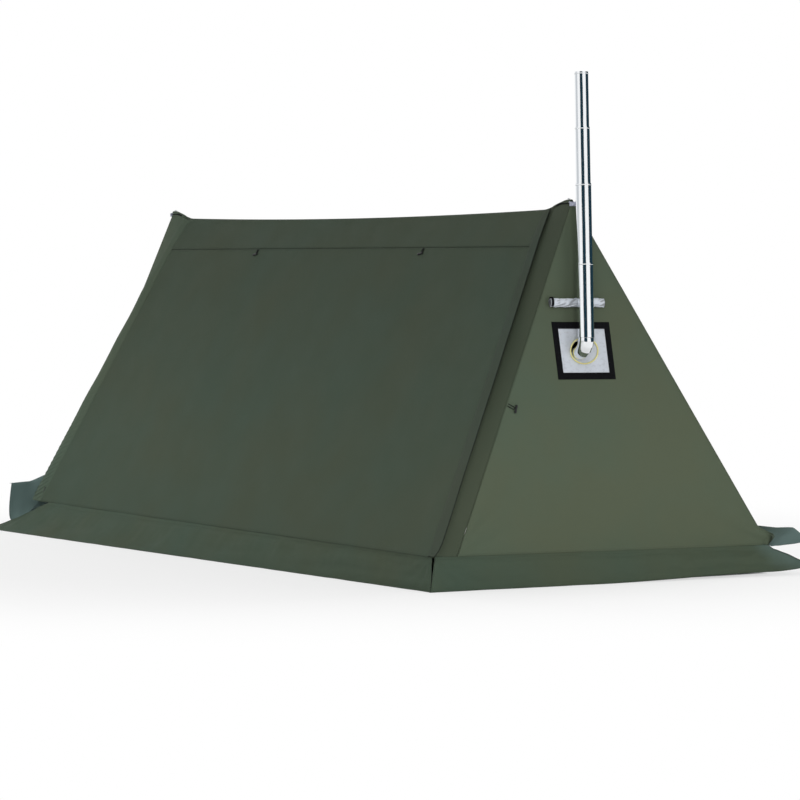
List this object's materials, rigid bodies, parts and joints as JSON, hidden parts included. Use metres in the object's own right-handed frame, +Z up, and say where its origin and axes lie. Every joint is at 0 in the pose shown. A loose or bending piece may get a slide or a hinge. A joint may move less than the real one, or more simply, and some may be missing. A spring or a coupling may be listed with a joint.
{
  "type": "ridge tent with awning wall",
  "caption": "Floorless ridge tent with a zipped front wall that lifts as an awning, ground skirts, a stove jack and a telescopic flue.",
  "frame": {"origin": "on the ground under the middle of the footprint, skirts included", "axes": "+X along the ridge towards the gable with the flue, the awning wall faces -Y, +Z up"},
  "size_m": [4.24, 2.115, 2.1417],
  "materials": {
    "olive_front": "matte",
    "olive_gable": "matte",
    "olive_strip": "matte",
    "olive_skirt": "satin",
    "black_webbing": "matte",
    "silver_cloth": "satin",
    "rim_thread": "matte",
    "flue_steel": "satin",
    "pole_steel": "satin",
    "zinc": "satin",
    "black_plastic": "matte",
    "black_rubber": "matte"
  },
  "bodies": {
    "tent": {"cap_grommet_left": "zinc", "cap_grommet_right": "zinc", "flap_head_left": "olive_front", "flap_head_right": "olive_front", "flue_elbow": "flue_steel", "flue_riser": "flue_steel", "gable_left": "olive_gable", "gable_right": "olive_gable", "gable_skirt_left": "olive_skirt", "gable_skirt_right": "olive_skirt", "header_band": "olive_front", "jack_border": "black_webbing", "jack_cover_roll": "silver_cloth", "jack_cover_tie_front": "black_webbing", "jack_cover_tie_rear": "black_webbing", "jack_patch": "silver_cloth", "jack_rim": "rim_thread", "pole_front_left_foot": "black_rubber", "pole_front_left_lower": "pole_steel", "pole_front_left_upper": "pole_steel", "pole_front_right_foot": "black_rubber", "pole_front_right_lower": "pole_steel", "pole_front_right_upper": "pole_steel", "pole_hub_left": "zinc", "pole_hub_right": "zinc", "pole_rear_left_foot": "black_rubber", "pole_rear_left_lower": "pole_steel", "pole_rear_left_upper": "pole_steel", "pole_rear_right_foot": "black_rubber", "pole_rear_right_lower": "pole_steel", "pole_rear_right_upper": "pole_steel", "rear_skirt": "olive_skirt", "rear_wall": "olive_front", "ridge_cap_left": "olive_strip", "ridge_cap_right": "olive_strip", "ridge_webbing": "black_webbing", "side_strip_left": "olive_strip", "side_strip_right": "olive_strip", "zip_tape_left_fixed": "black_webbing", "zip_tape_right_fixed": "black_webbing"},
    "awning": {"awning_panel": "olive_front", "front_skirt": "olive_skirt", "flap_left": "olive_front", "flap_right": "olive_front", "zip_tape_left_awning": "black_webbing", "zip_tape_right_awning": "black_webbing"},
    "header_toggle_left": {"header_left_loop": "black_webbing", "header_left_toggle": "black_plastic"},
    "header_toggle_right": {"header_right_loop": "black_webbing", "header_right_toggle": "black_plastic"},
    "gable_toggle": {"gable_right_loop": "black_webbing", "gable_right_toggle": "black_plastic"},
    "zip_slider_left_body": {"zip_slider_left": "black_plastic", "zip_pull_left": "black_plastic"},
    "zip_slider_right_body": {"zip_slider_right": "black_plastic", "zip_pull_right": "black_plastic"},
    "flue_second_body": {"flue_second": "flue_steel"},
    "flue_third_body": {"flue_third": "flue_steel"},
    "flue_top_body": {"flue_top": "flue_steel"}
  },
  "joints": [
    {"name": "awning_lift", "type": "hinge", "parent": "tent", "child": "awning", "pos_m": [0, -0.20919, 1.41109], "axis": [-1, 0, 0], "range_deg": [0, 70]},
    {"name": "header_toggle_left_swing", "type": "hinge", "parent": "awning", "child": "header_toggle_left", "pos_m": [-0.742, -0.21312, 1.40747], "axis": [-1, 0, 0], "range_deg": [0, 100]},
    {"name": "header_toggle_right_swing", "type": "hinge", "parent": "awning", "child": "header_toggle_right", "pos_m": [0.812, -0.21312, 1.40747], "axis": [-1, 0, 0], "range_deg": [0, 100]},
    {"name": "gable_toggle_swing", "type": "hinge", "parent": "tent", "child": "gable_toggle", "pos_m": [1.90013, -0.46123, 0.75547], "axis": [0.0492, -0.4387, -0.8973], "range_deg": [0, 100]},
    {"name": "zip_left_slide", "type": "slide", "parent": "tent", "child": "zip_slider_left_body", "axis": [0.1425, 0.4426, 0.8853], "range_m": [0, 1.26]},
    {"name": "zip_right_slide", "type": "slide", "parent": "tent", "child": "zip_slider_right_body", "axis": [-0.1425, 0.4426, 0.8853], "range_m": [0, 1.26]},
    {"name": "flue_second_slide", "type": "slide", "parent": "tent", "child": "flue_second_body", "axis": [-0.0544, 0.0117, 0.9985], "range_m": [-0.22, 0]},
    {"name": "flue_third_slide", "type": "slide", "parent": "flue_second_body", "child": "flue_third_body", "axis": [-0.0544, 0.0117, 0.9985], "range_m": [-0.2, 0]},
    {"name": "flue_top_slide", "type": "slide", "parent": "flue_third_body", "child": "flue_top_body", "axis": [-0.0544, 0.0117, 0.9985], "range_m": [-0.19, 0]}
  ]
}
